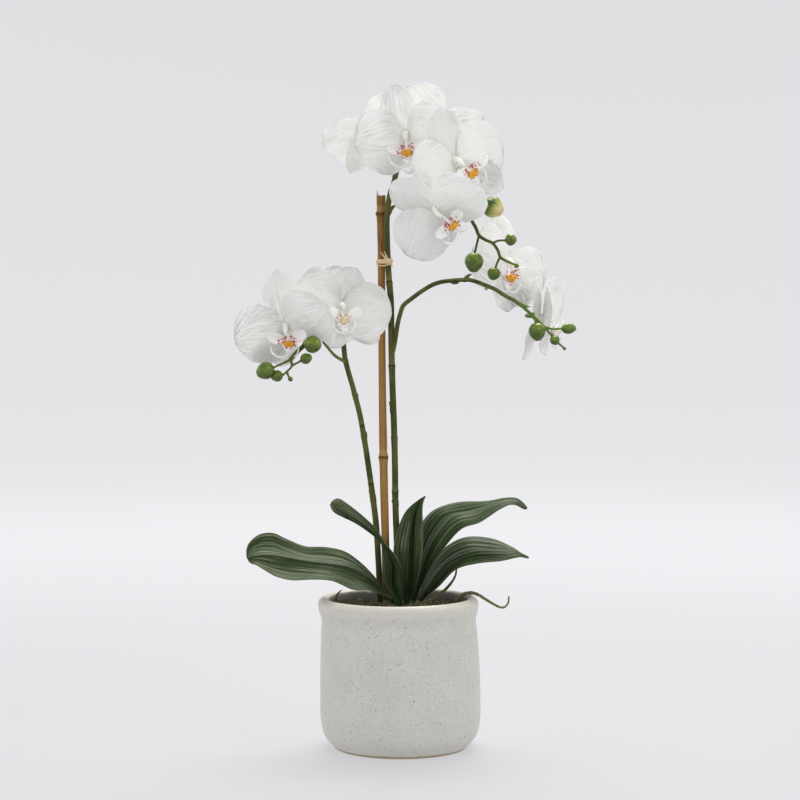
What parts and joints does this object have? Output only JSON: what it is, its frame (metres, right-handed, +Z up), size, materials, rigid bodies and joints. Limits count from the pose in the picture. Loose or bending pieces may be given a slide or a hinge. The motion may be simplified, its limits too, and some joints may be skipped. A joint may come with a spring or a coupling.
{
  "type": "potted moth orchid",
  "caption": "Potted moth orchid: white blooms and green buds on two arching spikes, one tied to a bamboo stake, with strap leaves in a round speckled stoneware pot.",
  "frame": {"origin": "centre of the pot's foot, on the surface that it stands on", "axes": "+Z up along the stems; the front of the plant faces -Y, and +X is to the viewer's right"},
  "size_m": [0.308, 0.1933, 0.6138],
  "materials": {
    "stoneware": "matt off-white glaze with fine grey-brown specks",
    "bark_mix": "dark chipped bark with mossy strands",
    "bamboo": "satin brown cane",
    "raffia": "dry pale straw strands",
    "stem": "satin olive-green stem, standing in for living tissue",
    "bud": "satin green turning cream, standing in for living tissue",
    "leaf": "dark green with parallel veins and a greyish sheen, standing in for living tissue",
    "root": "matt olive-brown root, standing in for living tissue",
    "petal": "soft white with faint radiating veins",
    "lip": "white with crimson spots",
    "callus": "waxy orange-yellow"
  },
  "bodies": {
    "root": {"pot": "stoneware", "soil": "bark_mix", "stake": "bamboo", "raffia_tie": "raffia", "flower_spike_tall": "stem", "flower_spike_left": "stem", "bud_cream": "bud", "leaf_long_left": "leaf", "leaf_twisted": "leaf", "leaf_upright": "leaf", "leaf_upper_right": "leaf", "leaf_lower_right": "leaf", "root_crown": "root", "root_over_rim": "root", "root_left": "root", "bloom_a": "petal", "lip_a": "lip", "callus_a": "callus", "bloom_b": "petal", "lip_b": "lip", "callus_b": "callus", "bloom_c": "petal", "lip_c": "lip", "callus_c": "callus", "bloom_d": "petal", "lip_d": "lip", "callus_d": "callus", "bloom_e": "petal", "lip_e": "lip", "callus_e": "callus", "bloom_f": "petal", "lip_f": "lip", "callus_f": "callus", "bloom_g": "petal", "lip_g": "lip", "callus_g": "callus", "bloom_h": "petal", "lip_h": "lip", "callus_h": "callus", "bloom_i": "petal", "lip_i": "lip", "callus_i": "callus", "bloom_j": "petal", "lip_j": "lip", "callus_j": "callus"}
  },
  "joints": []
}
